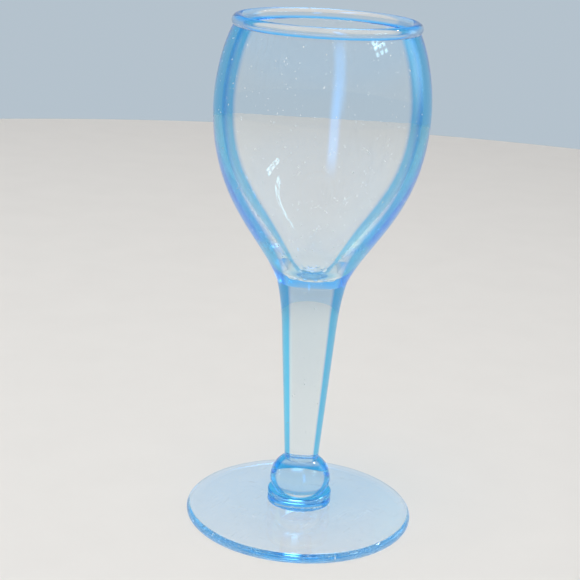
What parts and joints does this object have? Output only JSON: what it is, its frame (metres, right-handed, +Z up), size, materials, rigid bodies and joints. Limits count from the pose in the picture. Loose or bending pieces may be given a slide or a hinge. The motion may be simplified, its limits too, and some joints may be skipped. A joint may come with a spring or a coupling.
{
  "type": "cordial glass",
  "caption": "Small clear stem glass for cordials: tulip bowl with a rolled rim, tapered solid stem, ball knop on a low collar, and a thin round foot.",
  "frame": {"origin": "centre of the foot's rest ring, on the surface that the glass stands on", "axes": "+Z up along the axis of the glass, from foot to rim; +X and +Y are any two square directions, because the glass is round"},
  "size_m": [0.0498, 0.0498, 0.11],
  "materials": {
    "clear_glass": "fire-polished, faintly blue clear soda-lime glass"
  },
  "bodies": {
    "root": {"foot": "clear_glass", "collar": "clear_glass", "knop": "clear_glass", "stem": "clear_glass", "bowl": "clear_glass", "rim_bead": "clear_glass"}
  },
  "joints": []
}
